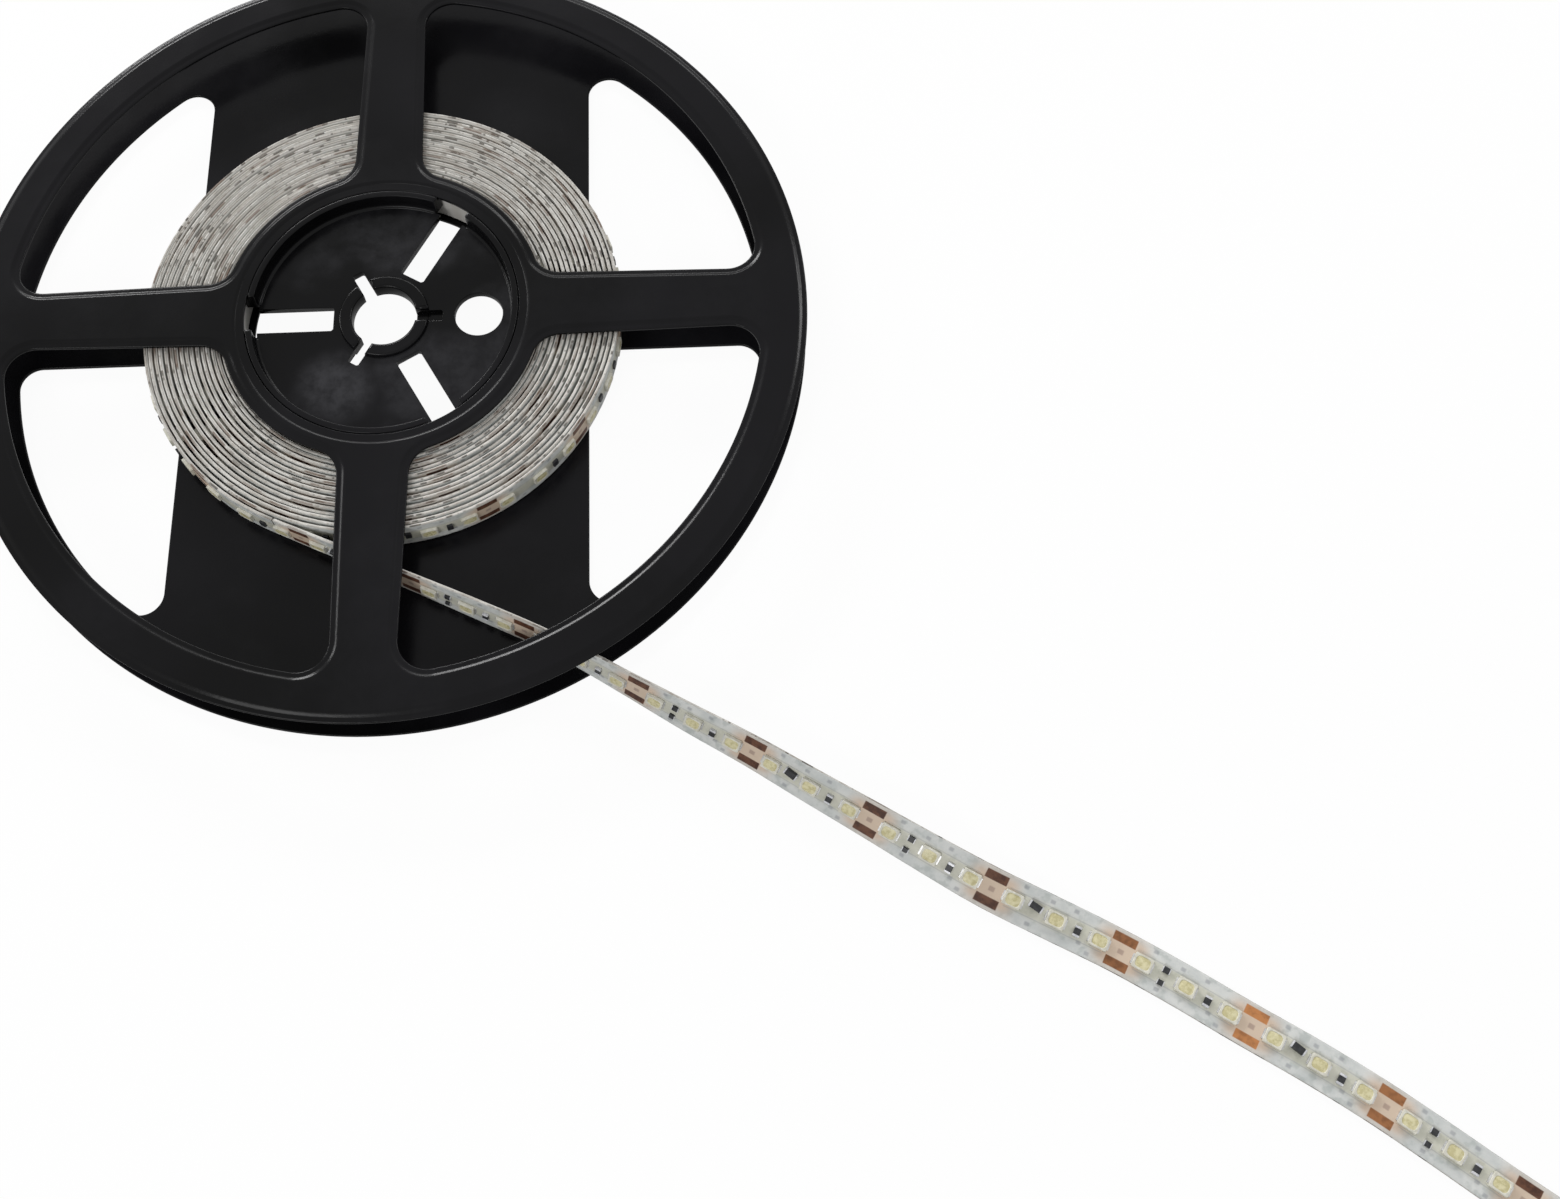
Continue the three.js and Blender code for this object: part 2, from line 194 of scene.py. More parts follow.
def make_camera():
    """A camera on the line from the target at the given azimuth and elevation, rolled about that line."""
    azimuth = math.radians(CAMERA_AZIMUTH)
    elevation = math.radians(CAMERA_ELEVATION)
    roll = math.radians(CAMERA_ROLL)
    back = Vector((
        math.sin(azimuth) * math.cos(elevation),
        -math.cos(azimuth) * math.cos(elevation),
        math.sin(elevation),
    ))
    right = (-back).cross(Vector((0, 0, 1))).normalized()
    up = right.cross(-back)
    rolled_right = math.cos(roll) * right + math.sin(roll) * up
    rolled_up = -math.sin(roll) * right + math.cos(roll) * up
    data = bpy.data.cameras.new("camera")
    data.sensor_fit = "HORIZONTAL"
    data.sensor_width = CAMERA_SENSOR
    data.lens = CAMERA_LENS
    data.shift_x, data.shift_y = CAMERA_SHIFT
    data.clip_start = 0.01
    data.clip_end = 20
    camera = bpy.data.objects.new("camera", data)
    bpy.context.collection.objects.link(camera)
    place = (Vector(CAMERA_TARGET) + CAMERA_DISTANCE * back) * MM
    camera.matrix_world = Matrix.Translation(place) @ Matrix(
        (rolled_right, rolled_up, back)).transposed().to_4x4()
    bpy.context.scene.camera = camera


def surface(name, points, patches):
    """A mesh object at the origin. points is an (n, 3) array in millimetres. Each patch is (faces, material,
    smooth, uv): faces an (m, corners) array of point numbers that turn anticlockwise seen from outside, and
    uv an (m, corners, 2) array or None."""
    mesh = bpy.data.meshes.new(name)
    mesh.vertices.add(len(points))
    mesh.vertices.foreach_set("co", (np.asarray(points) * MM).astype(np.float32).ravel())
    corners = np.concatenate([faces.ravel() for faces, *_ in patches]).astype(np.int32)
    sizes = np.concatenate([np.full(len(faces), faces.shape[1]) for faces, *_ in patches])
    starts = np.concatenate([[0], np.cumsum(sizes)[:-1]]).astype(np.int32)
    mesh.loops.add(len(corners))
    mesh.loops.foreach_set("vertex_index", corners)
    mesh.polygons.add(len(sizes))
    mesh.polygons.foreach_set("loop_start", starts)
    materials = list(dict.fromkeys(material for _, material, _, _ in patches))
    for material in materials:
        mesh.materials.append(material)
    numbers = [np.full(len(faces), materials.index(material)) for faces, material, _, _ in patches]
    shading = [np.full(len(faces), smooth) for faces, _, smooth, _ in patches]
    mesh.polygons.foreach_set("material_index", np.concatenate(numbers).astype(np.int32))
    mesh.polygons.foreach_set("use_smooth", np.concatenate(shading))
    if any(uv is not None for *_, uv in patches):
        flat = [np.zeros((faces.size, 2)) if uv is None else uv.reshape(-1, 2) for faces, _, _, uv in patches]
        layer = mesh.uv_layers.new(name="UVMap")
        layer.uv.foreach_set("vector", np.concatenate(flat).astype(np.float32).ravel())
    mesh.update(calc_edges=True)
    mesh.validate()
    piece = bpy.data.objects.new(name, mesh)
    bpy.context.collection.objects.link(piece)
    return piece


def grid_faces(rows, columns, offset=0):
    """Quads of a grid of rows by columns of points, closed round its columns. Rows run along the path and
    columns round it anticlockwise, so the faces look outwards."""
    this_row = np.arange(rows - 1)[:, None] * columns
    next_row = this_row + columns
    column = np.arange(columns)[None, :]
    next_column = (column + 1) % columns
    quads = np.stack(np.broadcast_arrays(
        this_row + column, this_row + next_column, next_row + next_column, next_row + column), axis=-1)
    return quads.reshape(-1, 4) + offset


def unit(vectors):
    return vectors / np.linalg.norm(vectors, axis=-1, keepdims=True)


def catmull_rom(points, samples):
    """Centripetal curve through points, as the part's source draws it: each knot stands the square root of
    the chord after the one before, and the curve between two points is Barry and Goldman's pyramid of blends.
    Ends are carried on by mirroring. Returned as samples + 1 even distances along it and the points there."""
    per_span = 60
    points = np.asarray(points, float)
    ends = np.vstack([2 * points[0] - points[1], points, 2 * points[-1] - points[-2]])
    chords = np.sqrt(np.linalg.norm(np.diff(ends[:, :3], axis=0), axis=1))
    fine = []
    for k in range(len(points) - 1):
        p = ends[k:k + 4]
        t = np.concatenate([[0], np.cumsum(chords[k:k + 3])])
        x = np.linspace(t[1], t[2], per_span, endpoint=k == len(points) - 2)[:, None]
        a = [((t[i + 1] - x) * p[i] + (x - t[i]) * p[i + 1]) / (t[i + 1] - t[i]) for i in range(3)]
        b = [((t[i + 2] - x) * a[i] + (x - t[i]) * a[i + 1]) / (t[i + 2] - t[i]) for i in range(2)]
        fine.append(((t[2] - x) * b[0] + (x - t[1]) * b[1]) / (t[2] - t[1]))
    fine = np.vstack(fine)
    travelled = np.concatenate([[0], np.cumsum(np.linalg.norm(np.diff(fine[:, :3], axis=0), axis=1))])
    even = np.linspace(0, travelled[-1], samples + 1)
    return even, np.stack([np.interp(even, travelled, column) for column in fine.T], axis=1)


def tail_frames(distances):
    """The tail's place and directions at distances along it: the middle of the strip's back face, along,
    across and the direction that the LED face looks in, which leans from level to straight up."""
    even, path = catmull_rom(TAIL_ROUTE, TAIL_SAMPLES)
    middle = np.stack([np.interp(distances, even, path[:, k]) for k in range(3)], axis=1)
    slope = np.gradient(path[:, :3], even, axis=0)
    along = unit(np.stack([np.interp(distances, even, slope[:, k]) for k in range(3)], axis=1))
    lean = np.radians(np.minimum(np.interp(distances, even, path[:, 3]), 90))[:, None]
    right = unit(np.stack([along[:, 1], -along[:, 0], np.zeros(len(along))], axis=1))
    up = np.cross(right, along)
    facing = right * np.cos(lean) + up * np.sin(lean)
    across = up * np.cos(lean) - right * np.sin(lean)
    return middle, along, across, facing


def winding_turns(lengths):
    """Turns of a spiral that starts at WINDING_START and grows by WINDING_PITCH a turn, from its length."""
    start = WINDING_START
    return (np.sqrt(start ** 2 + WINDING_PITCH * lengths / np.pi) - start) / WINDING_PITCH


def slow_waves(waves, angle, turn):
    """A sum of sine waves along the winding, each with its own height, rates and phase."""
    return sum(height * np.sin(per_radian * angle + per_turn * turn + phase)
               for height, per_radian, per_turn, phase in waves)


def winding_frames(lengths):
    """The winding's place and directions at lengths from its inner end. The spiral wanders in and out and up
    and down a little, in slow waves that differ from turn to turn and die out at both ends."""
    whole = winding_turns(np.array([STRIP_LENGTH - TAIL_LENGTH]))[0]
    turn = winding_turns(lengths)
    angle = WINDING_END_ANGLE + (turn - whole) * 2 * np.pi
    fade = np.clip(np.minimum(turn, whole - turn) / WINDING_FADE_TURNS, 0, 1)
    wander = slow_waves(WANDER_WAVES, angle, turn)
    lift = slow_waves(LIFT_WAVES, angle, turn)
    radius = WINDING_START + turn * WINDING_PITCH + wander * fade
    facing = np.stack([np.cos(angle), np.sin(angle), np.zeros(len(angle))], axis=1)
    middle = facing * radius[:, None]
    middle[:, 2] = WINDING_HEIGHT + lift * fade
    across = np.tile([0.0, 0.0, 1.0], (len(angle), 1))
    return middle, np.cross(across, facing), across, facing


def ribbon(name, frames, distances, face, edge, back):
    """The strip's section with broken edges carried along frames: the board, and behind it the release
    paper, which is a little narrower. The points run anticlockwise round the path, first along the paper,
    then up one edge, back over the LED face and down the other edge. Its UV map has cut pitches from the
    tail's end along and millimetres from the middle across."""
    middle, _, across, facing = frames
    half = STRIP_WIDTH / 2
    step = half - LINER_STEP
    cut = 0.07
    liner_cut = 0.03
    near = 0.4
    top = STRIP_THICKNESS
    right_side = [
        (half - near, -LINER_THICKNESS),
        (step - liner_cut, -LINER_THICKNESS),
        (step, liner_cut - LINER_THICKNESS),
        (step, 0),
        (half - cut, 0),
        (half, cut),
        (half, top - cut),
        (half - cut, top),
        (half - near, top),
    ]
    section = np.array(right_side + [(-v, h) for v, h in reversed(right_side)])
    columns = len(section)
    aside, out = section[None, :, :1], section[None, :, 1:]
    points = middle[:, None] + aside * across[:, None] + out * facing[:, None]
    rows = len(middle)
    quads = grid_faces(rows, columns).reshape(rows - 1, columns, 4)
    along = (distances - TAIL_LENGTH) / CUT_PITCH
    uv = np.stack(np.broadcast_arrays(along[:, None], section[None, :, 0]), axis=-1).reshape(-1, 2)
    ends = np.stack([np.arange(columns)[::-1], np.arange(columns) + (rows - 1) * columns])
    paper_sides = [0, 1, 2, 14, 15, 16, 17]
    edge_sides = [3, 4, 5, 6, 10, 11, 12, 13]
    face_sides = [7, 8, 9]
    patches = []
    for sides, material in ((paper_sides, back), (edge_sides, edge), (face_sides, face)):
        faces = quads[:, sides].reshape(-1, 4)
        patches.append((faces, material, True, uv[faces]))
    patches.append((ends, edge, False, uv[ends]))
    return surface(name, points.reshape(-1, 3), patches)


def repeated(name, shape, frames, shift):
    """A shape, which is (points, patches) in along, across and facing coordinates, set down at each frame and
    shifted across there."""
    points, patches = shape
    middle, along, across, facing = frames
    middle = middle + across * shift
    placed = middle[:, None] + points[None, :, :1] * along[:, None] + points[None, :, 1:2] * across[:, None] \
        + points[None, :, 2:] * facing[:, None]
    steps = (np.arange(len(middle)) * len(points))[:, None, None]
    spread = [((faces[None] + steps).reshape(-1, faces.shape[1]), material, smooth, None)
              for faces, material, smooth, _ in patches]
    return surface(name, placed.reshape(-1, 3), spread)


def rounded_loop(length, width, corner, steps):
    """A rectangle's outline with round corners, anticlockwise from its right side."""
    angles = np.linspace(0, np.pi / 2, steps + 1)
    arc = corner * np.stack([np.cos(angles), np.sin(angles)], axis=1)
    centre = np.array([length / 2 - corner, width / 2 - corner])
    turns = [(1, 0, 1, 1), (0, -1, -1, 1), (-1, 0, -1, -1), (0, 1, 1, -1)]
    sides = []
    for cosine, sine, side_x, side_y in turns:
        turned = arc @ np.array([[cosine, -sine], [sine, cosine]])
        sides.append(turned + centre * (side_x, side_y))
    return np.concatenate(sides)


def stacked(loops, materials, turn=0.0):
    """A block from loops of equally many points at rising heights, closed by its first and last loop. Each
    loop is (outline, height), each band between two loops has its own material, and the last one is the
    top's."""
    count = len(loops[0][0])
    points = np.concatenate([np.column_stack([outline, np.full(count, height)]) for outline, height in loops])
    cosine, sine = math.cos(turn), math.sin(turn)
    points[:, :2] = points[:, :2] @ np.array([[cosine, sine], [-sine, cosine]])
    patches = [(grid_faces(2, count, level * count), materials[level], False, None)
               for level in range(len(loops) - 1)]
    patches.append((np.arange(count)[None, ::-1], materials[0], False, None))
    patches.append((np.arange(count)[None] + (len(loops) - 1) * count, materials[-1], False, None))
    return points, patches


def joined(shapes):
    """One shape from several."""
    start = 0
    points = []
    patches = []
    for shape_points, shape_patches in shapes:
        points.append(shape_points)
        patches += [(faces + start, material, smooth, uv) for faces, material, smooth, uv in shape_patches]
        start += len(shape_points)
    return np.concatenate(points), patches


def moved(shape, x, y, z=0.0):
    points, patches = shape
    return points + (x, y, z), patches


def arc(x, y, radius, start, end, step=ARC_STEP):
    """Points of an arc round (x, y), both ends included."""
    count = max(2, math.ceil(abs(end - start) / step))
    angles = np.linspace(start, end, count + 1)
    return np.stack([x + radius * np.cos(angles), y + radius * np.sin(angles)], axis=1)


def straight_edge(start, end, inside):
    """A window's straight edge: a point, its direction and the normal that points to the window's side."""
    start = np.array(start, float)
    along = unit(np.array(end, float) - start)
    normal = np.array([-along[1], along[0]])
    if normal @ (np.array(inside) - start) < 0:
        normal = -normal
    return start, along, normal


def fillet_on_circle(edge, fillet, distance):
    """Centre of a fillet that touches a straight edge and stands at a distance from the axis."""
    point, along, normal = edge
    start = point + normal * fillet
    half = start @ along
    return start + along * (-half + math.sqrt(half * half - start @ start + distance * distance))


def fillet_between(first, second, fillet):
    """Centre of a fillet between two straight edges."""
    start = first[0] + first[2] * fillet
    other = second[0] + second[2] * fillet
    return start + first[1] * ((other - start) @ second[2] / (first[1] @ second[2]))


def angle_of(vector):
    return math.atan2(vector[1], vector[0])


def fillet_arc(centre, fillet, start_direction, end_direction):
    """The short arc of a fillet from one touching direction to another."""
    start = angle_of(start_direction)
    turn = (angle_of(end_direction) - start + math.pi) % (2 * math.pi) - math.pi
    return arc(*centre, fillet, start, start + turn, FILLET_STEP)


def front_window():
    """A front window in the first quadrant: two spoke edges, the rim's arc and the hub ring's arc."""
    outer = FLANGE_RADIUS - RIM_WIDTH
    ring = HUB_RING_RADIUS
    half_hub = SPOKE_WIDTH_AT_HUB / 2
    half_rim = SPOKE_WIDTH_AT_RIM / 2
    lower = straight_edge((ring, half_hub), (outer, half_rim), (outer, outer))
    upper = straight_edge((half_hub, ring), (half_rim, outer), (outer, outer))
    corner = WINDOW_CORNER
    outer_lower = fillet_on_circle(lower, corner, outer - corner)
    outer_upper = fillet_on_circle(upper, corner, outer - corner)
    inner_lower = fillet_on_circle(lower, corner, ring + corner)
    inner_upper = fillet_on_circle(upper, corner, ring + corner)
    return np.concatenate([
        fillet_arc(outer_lower, corner, -lower[2], outer_lower),
        arc(0, 0, outer, angle_of(outer_lower), angle_of(outer_upper))[1:-1],
        fillet_arc(outer_upper, corner, outer_upper, -upper[2]),
        fillet_arc(inner_upper, corner, -upper[2], -inner_upper),
        arc(0, 0, ring, angle_of(inner_upper), angle_of(inner_lower))[1:-1],
        fillet_arc(inner_lower, corner, -inner_lower, -lower[2]),
    ])


def rear_window():
    """A rear window in the first quadrant: the band's edge, the spoke's edge and the rim's arc."""
    outer = FLANGE_RADIUS - RIM_WIDTH
    half_band = REAR_BAND_WIDTH / 2
    half_spoke = REAR_SPOKE_WIDTH / 2
    corner = REAR_WINDOW_CORNER
    spoke = straight_edge((half_band, half_spoke), (outer, half_spoke), (outer, outer))
    band = straight_edge((half_band, half_spoke), (half_band, outer), (outer, outer))
    outer_spoke = fillet_on_circle(spoke, corner, outer - corner)
    outer_band = fillet_on_circle(band, corner, outer - corner)
    inner = fillet_between(spoke, band, corner)
    return np.concatenate([
        fillet_arc(outer_spoke, corner, -spoke[2], outer_spoke),
        arc(0, 0, outer, angle_of(outer_spoke), angle_of(outer_band))[1:-1],
        fillet_arc(outer_band, corner, outer_band, -band[2]),
        fillet_arc(inner, corner, -band[2], -spoke[2]),
    ])


def turned(points, angle):
    cosine, sine = math.cos(angle), math.sin(angle)
    return points @ np.array([[cosine, sine], [-sine, cosine]])


def inset(loop, amount):
    """A loop moved to the side on its left by amount, with mitred corners: each point goes along the sum of
    its two neighbouring normals, stretched so that both sides move by the same amount."""
    least_stretch = 0.3
    ahead = unit(np.roll(loop, -1, axis=0) - loop)
    behind = np.roll(ahead, 1, axis=0)
    normal_ahead = np.stack([-ahead[:, 1], ahead[:, 0]], axis=1)
    normal_behind = np.stack([-behind[:, 1], behind[:, 0]], axis=1)
    mitre = unit(normal_ahead + normal_behind)
    stretch = np.sum(mitre * normal_ahead, axis=1, keepdims=True)
    return loop + mitre * amount / np.maximum(stretch, least_stretch)


def plate(loops, low, high, edges, material):
    """A plate with shaped edges: loops are its outline anticlockwise and its holes clockwise, and edges gives
    each loop's edge at the low and at the high face, as points (how far in from the wall, how far from the
    face) that start at the face. The points are carried along each loop, and the flat faces between the loops
    are cut into triangles."""
    points = []
    patches = []
    caps = []
    start = 0
    for loop, (low_edge, high_edge) in zip(loops, edges):
        profile = [(amount, low + drop) for amount, drop in low_edge]
        profile += [(amount, high - drop) for amount, drop in reversed(high_edge)]
        rings = [np.column_stack([inset(loop, amount), np.full(len(loop), height)])
                 for amount, height in profile]
        points += rings
        patches.append((grid_faces(len(rings), len(loop), start), material, True, None))
        caps.append((start, rings[0], start + (len(rings) - 1) * len(loop), rings[-1]))
        start += len(rings) * len(loop)
    for faces_up, place in ((False, 0), (True, 2)):
        firsts = [cap[place] for cap in caps]
        rings = [cap[place + 1] for cap in caps]
        triangles = np.array(tessellate_polygon([[Vector(point) for point in ring] for ring in rings]))
        numbers = np.concatenate([first + np.arange(len(ring)) for first, ring in zip(firsts, rings)])
        flat = np.concatenate(rings)[:, :2]
        a, b, c = (flat[triangles[:, k]] for k in range(3))
        area = (b - a)[:, 0] * (c - a)[:, 1] - (b - a)[:, 1] * (c - a)[:, 0]
        turn_over = (area < 0) if faces_up else (area > 0)
        triangles = np.where(turn_over[:, None], triangles[:, ::-1], triangles)
        patches.append((numbers[triangles], material, False, None))
    return np.concatenate(points), patches


def same_edge(loops, width):
    """The same small rounding, a quarter circle, on both faces of every loop."""
    quarter = [(width * (1 - math.sin(turn)), width * (1 - math.cos(turn)))
               for turn in np.radians((0, 30, 60, 90))]
    return [(quarter, quarter)] * len(loops)


def sector_wall(outline, slot, start, end, material):
    """A wall's section, anticlockwise in radius and height, carried round the axis from one slot's middle to
    the next one's. Each point stops half a slot short of both, so the ends run along the slots' sides, and
    a smaller copy of the section closes each end and rounds it."""
    count = math.ceil((end - start) / ARC_STEP)
    share = np.linspace(0, 1, count + 1)[:, None]
    short = np.arcsin(slot / 2 / outline[:, 0])[None, :]
    rounded = WALL_END_EDGE / DRUM_RADIUS
    inner = (start + short + rounded) * (1 - share) + (end - short - rounded) * share
    angles = np.concatenate([start + short, inner, end - short])
    small = inset(outline, WALL_END_EDGE)
    sections = np.stack([small] + [outline] * (count + 1) + [small])
    points = np.stack([
        sections[:, :, 0] * np.cos(angles),
        sections[:, :, 0] * np.sin(angles),
        sections[:, :, 1],
    ], axis=-1).reshape(-1, 3)
    columns = len(outline)
    rows = len(angles)
    faces = grid_faces(rows, columns)[:, ::-1]
    ends = np.stack([np.arange(columns), (np.arange(columns) + (rows - 1) * columns)[::-1]])
    return points, [(faces, material, True, None), (ends, material, False, None)]


def softened(outline, radius):
    """An outline with each corner replaced by a few points of a curve that touches both sides: the curve is
    the corner's quadratic blend between the two points that stand radius away from it, or less on a short
    side."""
    steps = 3
    most = 0.4
    before = np.roll(outline, 1, axis=0)
    after = np.roll(outline, -1, axis=0)
    reach_before = np.minimum(radius, most * np.linalg.norm(before - outline, axis=1, keepdims=True))
    reach_after = np.minimum(radius, most * np.linalg.norm(after - outline, axis=1, keepdims=True))
    first = outline + unit(before - outline) * reach_before
    last = outline + unit(after - outline) * reach_after
    share = np.linspace(0, 1, steps + 1)[None, :, None]
    blend = (1 - share) ** 2 * first[:, None] + 2 * share * (1 - share) * outline[:, None] \
        + share ** 2 * last[:, None]
    return blend.reshape(-1, 2)


def circle(radius, x=0.0, y=0.0):
    """A circle's points, anticlockwise."""
    return arc(x, y, radius, 0, 2 * math.pi)[:-1]


def hub_step(low, material):
    """The thinner ring round the hub opening, which lies a step below the flange's outer face."""
    loops = [circle(HUB_STEP_RADIUS + STEP_OVERLAP), circle(OPENING_RADIUS)[::-1]]
    edges = [(SHARP_EDGE, SHARP_EDGE), (SMALL_EDGE, SMALL_EDGE)]
    return plate(loops, low, low + FLANGE_THICKNESS - HUB_STEP_DEPTH, edges, material)


def front_flange_shape(material):
    window = front_window()
    windows = [turned(window, quarter * math.pi / 2)[::-1] for quarter in range(4)]
    loops = [circle(FLANGE_RADIUS), circle(HUB_STEP_RADIUS)[::-1]] + windows
    edges = [(SMALL_EDGE, OUTER_EDGE), (SHARP_EDGE, HUB_EDGE)] + [(SMALL_EDGE, WINDOW_EDGE)] * 4
    low = REEL_HEIGHT - FLANGE_THICKNESS
    return joined([plate(loops, low, REEL_HEIGHT, edges, material), hub_step(low, material)])


def rear_flange_shape(material):
    window = rear_window()
    mirrored = window * (-1, 1)
    windows = [window[::-1], mirrored, turned(window, math.pi)[::-1], turned(mirrored, math.pi)]
    loops = [circle(FLANGE_RADIUS), circle(HUB_STEP_RADIUS)[::-1]] + windows
    edges = [(OUTER_EDGE, SMALL_EDGE), (HUB_EDGE, SHARP_EDGE)] + [(WINDOW_EDGE, SMALL_EDGE)] * 4
    return joined([plate(loops, 0, FLANGE_THICKNESS, edges, material), hub_step(HUB_STEP_DEPTH, material)])


def web_shape(material):
    """The hub's web: a disc with three slots open at its rim, the keyed bore and the drive hole."""
    radius = DRUM_INNER_RADIUS - WEB_RIM_OVERLAP
    half = SLOT_WIDTH / 2
    mouth = math.sqrt(radius ** 2 - half ** 2)
    rim = math.asin(half / radius)
    outline = []
    for k in range(3):
        middle = (k + 0.5) * THIRD_TURN
        slot = np.array([
            (mouth, -half),
            (SLOT_START + SLOT_CORNER, -half),
            (SLOT_START, -half + SLOT_CORNER),
            (SLOT_START, half - SLOT_CORNER),
            (SLOT_START + SLOT_CORNER, half),
            (mouth, half),
        ])
        outline.append(turned(slot, middle))
        outline.append(arc(0, 0, radius, middle + rim, middle + THIRD_TURN - rim)[1:-1])
    bore = BORE_RADIUS + WEB_BORE_OVERLAP
    half_key = KEY_WIDTH / 2
    key_start = math.asin(half_key / bore)
    keyed = []
    for k in range(3):
        middle = k * THIRD_TURN
        key = np.array([
            (KEY_REACH - KEY_CORNER, -half_key),
            (KEY_REACH, -half_key + KEY_CORNER),
            (KEY_REACH, half_key - KEY_CORNER),
            (KEY_REACH - KEY_CORNER, half_key),
        ])
        keyed.append(turned(key, middle))
        keyed.append(arc(0, 0, bore, middle + key_start, middle + THIRD_TURN - key_start))
    holes = [np.concatenate(keyed)[::-1], circle(DRIVE_HOLE_RADIUS, DRIVE_HOLE_PLACE)[::-1]]
    loops = [np.concatenate(outline)] + holes
    low = WEB_MIDDLE - WEB_THICKNESS / 2
    return plate(loops, low, low + WEB_THICKNESS, same_edge(loops, WEB_EDGE), material)


def boss_shapes(material):
    """The boss round the bore: three thick sectors between the keys."""
    half_key = KEY_WIDTH / 2 + KEY_CLEARANCE
    inner = math.asin(half_key / BORE_RADIUS)
    outer = math.asin(half_key / BOSS_RADIUS)
    low = WEB_MIDDLE - BOSS_HEIGHT / 2
    high = WEB_MIDDLE + BOSS_HEIGHT / 2
    shapes = []
    for k in range(3):
        start = k * THIRD_TURN
        end = start + THIRD_TURN
        outline = np.concatenate([
            arc(0, 0, BOSS_RADIUS, start + outer, end - outer, BOSS_ARC_STEP),
            arc(0, 0, BORE_RADIUS, end - inner, start + inner, BOSS_ARC_STEP),
        ])
        shapes.append(plate([outline], low, high, same_edge([outline], BOSS_EDGE), material))
    return shapes


def blind_key_shapes(material):
    """What closes the key beside the drive hole from below: a filling under the boss and a thin floor. They
    stop a hair short of the faces that they would share with the boss and the web."""
    hair = 0.02
    lap = 0.5
    half = KEY_WIDTH / 2 + KEY_FLOOR_OVERLAP
    boss_bottom = WEB_MIDDLE - BOSS_HEIGHT / 2
    web_bottom = WEB_MIDDLE - WEB_THICKNESS / 2
    blocks = [
        (BORE_RADIUS + hair, BOSS_RADIUS - BOSS_EDGE / 2, boss_bottom + hair),
        (BOSS_RADIUS - lap, KEY_REACH + KEY_FLOOR_OVERLAP, web_bottom + hair / 2),
    ]
    shapes = []
    for start, end, low in blocks:
        outline = np.array([(start, -half), (end, -half), (end, half), (start, half)])
        shapes.append(plate([outline], low, web_bottom + BLIND_KEY_FLOOR,
                            same_edge([outline], KEY_FLOOR_EDGE), material))
    return shapes


def drum_shapes(material):
    """The drum's wall, carried round between the slots in two halves that meet inside the web: each half's
    section has a neck that seats in its flange and a fillet at the web, and the lower half's slots are
    wider."""
    inner = DRUM_INNER_RADIUS
    bend = WEB_FILLET * (1 - math.sqrt(0.5))
    walls = []
    for face, side, slot in ((REEL_HEIGHT, -1, WALL_SLOT_WIDTH), (0, 1, LOWER_WALL_SLOT_WIDTH)):
        neck_end = face + side * NECK_RECESS
        seat = face + side * (FLANGE_THICKNESS + SEAT_CLEARANCE)
        web = WEB_MIDDLE - side * WEB_THICKNESS / 2
        outline = np.array([
            (inner, neck_end),
            (NECK_RADIUS, neck_end),
            (NECK_RADIUS, seat),
            (DRUM_RADIUS, seat),
            (DRUM_RADIUS, WEB_MIDDLE),
            (inner - WEB_FILLET, WEB_MIDDLE),
            (inner - WEB_FILLET, web),
            (inner - bend, web - side * bend),
            (inner, web - side * WEB_FILLET),
        ])
        if side < 0:
            outline = outline[::-1]
        section = softened(outline, WALL_EDGE)
        walls += [sector_wall(section, slot, (k + 0.5) * THIRD_TURN, (k + 1.5) * THIRD_TURN, material)
                  for k in range(3)]
    return walls


